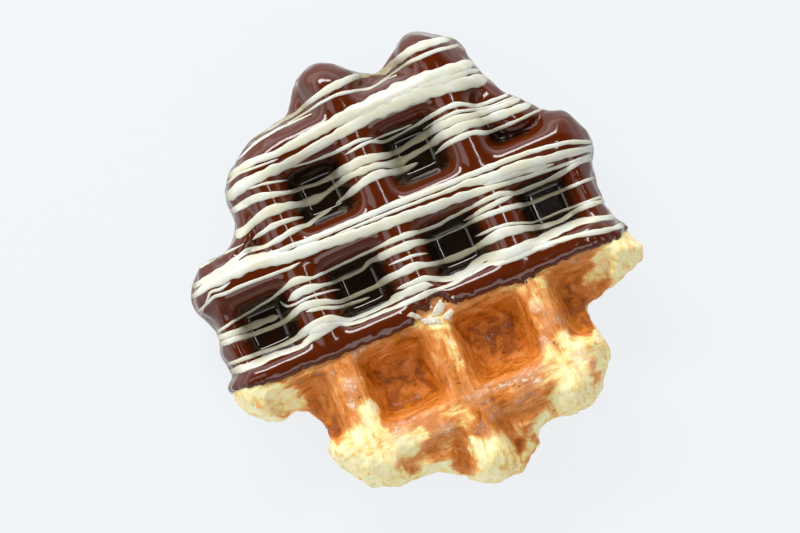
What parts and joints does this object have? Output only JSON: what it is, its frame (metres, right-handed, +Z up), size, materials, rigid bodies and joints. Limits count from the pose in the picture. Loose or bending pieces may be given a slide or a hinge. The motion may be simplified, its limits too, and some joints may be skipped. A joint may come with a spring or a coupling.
{
  "type": "belgian waffle",
  "caption": "Thick ragged waffle with deep square pockets on both faces, partly coated in dark chocolate with white chocolate drizzle.",
  "frame": {"origin": "bottom centre of the bounding box, on the surface it lies on", "axes": "+X along the pocket rows, +Y towards the coated end, +Z up out of the coated face"},
  "size_m": [0.1084, 0.1136, 0.0256],
  "materials": {
    "baked_dough": "browned crust",
    "dark_chocolate": "glossy set chocolate"
  },
  "bodies": {
    "root": {"waffle": "baked_dough", "chocolate_coat": "dark_chocolate"}
  },
  "joints": []
}
